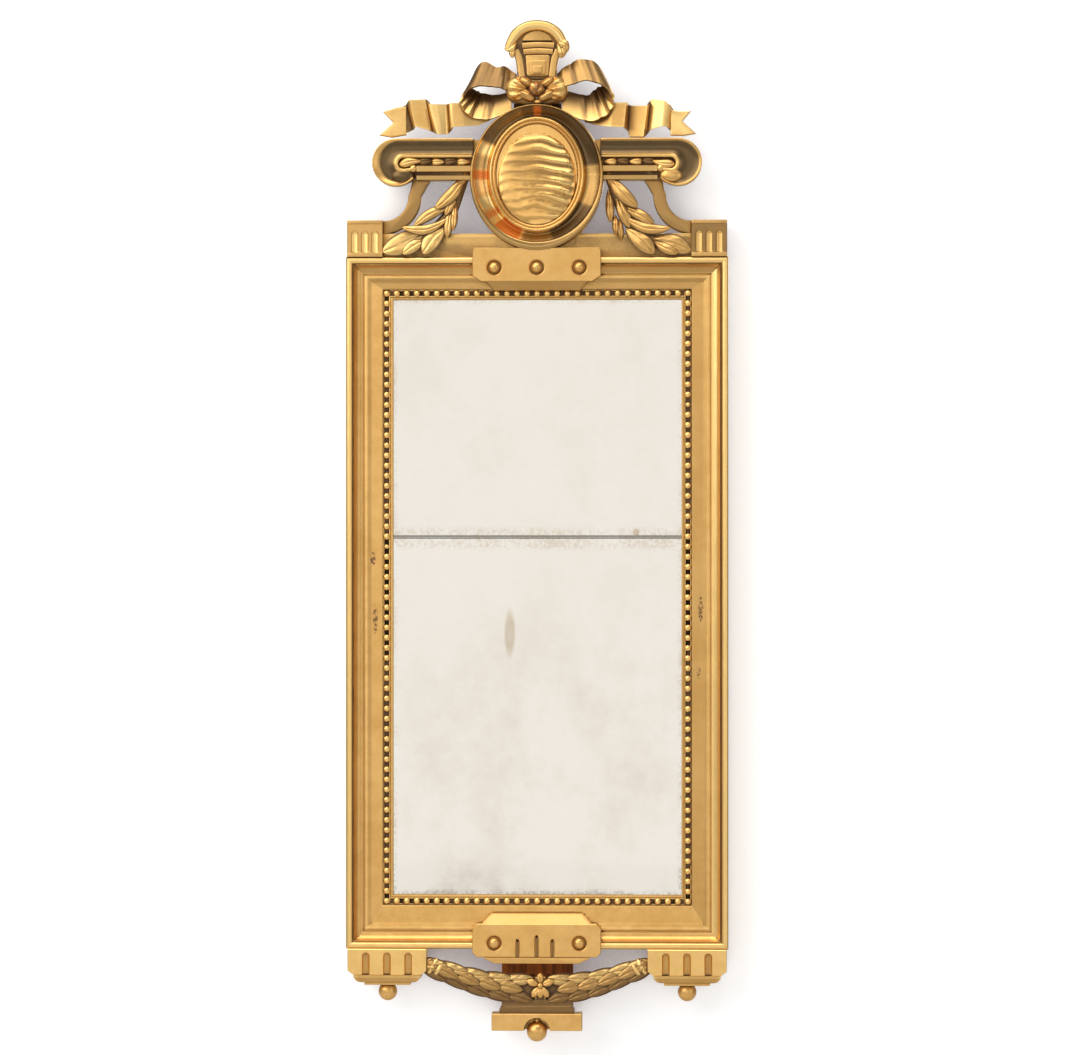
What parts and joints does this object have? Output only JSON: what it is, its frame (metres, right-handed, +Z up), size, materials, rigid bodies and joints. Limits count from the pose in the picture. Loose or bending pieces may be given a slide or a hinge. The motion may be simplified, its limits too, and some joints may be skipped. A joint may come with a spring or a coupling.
{
  "type": "pier mirror",
  "caption": "Tall giltwood wall mirror: mitred frame with pearl border, two-part glass, pierced crest with oval medallion and ribbon bow, festoon apron, hung by a swinging iron ring.",
  "frame": {"origin": "middle of the frame's back, on the rear face of the middle backboard, in the plane of the wall", "axes": "+Z up along the frame's height, +Y into the wall, -Y towards the viewer, +X to the viewer's right"},
  "size_m": [0.45, 0.056, 1.2008],
  "materials": {
    "matt_gilding": "worn matt water gilding over red bole on carved pine",
    "burnished_gilding": "burnished water gilding, mirror-like and slightly worn",
    "old_mirror_glass": "old silvered glass with faint cloudy foxing",
    "bare_pine": "bare old pine, darkened, with saw and plane marks",
    "forged_iron": "hand-forged, dark and lightly rusted"
  },
  "bodies": {
    "root": {"left_stile": "matt_gilding", "right_stile": "matt_gilding", "top_rail": "matt_gilding", "bottom_rail": "matt_gilding", "mitre_keys": "bare_pine", "pearl_strip_left": "matt_gilding", "pearl_strip_right": "matt_gilding", "pearl_strip_top": "matt_gilding", "pearl_strip_bottom": "matt_gilding", "upper_mirror_plate": "old_mirror_glass", "lower_mirror_plate": "old_mirror_glass", "glass_blocks": "bare_pine", "backboard_upper": "bare_pine", "backboard_middle": "bare_pine", "backboard_lower": "bare_pine", "backboard_nails": "forged_iron", "crest_board": "matt_gilding", "crest_spine": "bare_pine", "crest_dowels": "bare_pine", "crest_screws": "forged_iron", "scroll_bar_left": "burnished_gilding", "scroll_bar_right": "burnished_gilding", "carved_strip_left": "matt_gilding", "carved_strip_right": "matt_gilding", "medallion_ring": "burnished_gilding", "medallion_field": "matt_gilding", "bow_knot": "matt_gilding", "bow_top_loop": "matt_gilding", "bow_loop_left": "matt_gilding", "bow_loop_right": "matt_gilding", "ribbon_tail_left": "matt_gilding", "ribbon_tail_right": "matt_gilding", "garland_left": "matt_gilding", "garland_right": "matt_gilding", "top_block_left": "matt_gilding", "top_block_right": "matt_gilding", "top_plaque": "matt_gilding", "top_plaque_apron": "matt_gilding", "top_plaque_studs": "matt_gilding", "bottom_block_left": "matt_gilding", "bottom_block_right": "matt_gilding", "drop_moulding_left": "matt_gilding", "drop_moulding_right": "matt_gilding", "ball_drop_left": "matt_gilding", "ball_drop_right": "matt_gilding", "bottom_plaque": "matt_gilding", "bottom_plaque_cap": "matt_gilding", "bottom_plaque_foot": "matt_gilding", "bottom_plaque_studs": "matt_gilding", "festoon_left": "matt_gilding", "festoon_right": "matt_gilding", "festoon_binding": "matt_gilding", "apron_board": "bare_pine", "apron_screws": "forged_iron", "drop_pedestal": "matt_gilding", "drop_plate": "matt_gilding", "ball_drop_centre": "matt_gilding", "hanger_plate": "forged_iron", "hanger_staple": "forged_iron"},
    "hanging_ring": {"hanger_ring": "forged_iron"}
  },
  "joints": [
    {"name": "ring_swing", "type": "hinge", "parent": "root", "child": "hanging_ring", "pos_m": [0, -0.0045, 0.5], "axis": [1, 0, 0], "range_deg": [0, 180]}
  ]
}
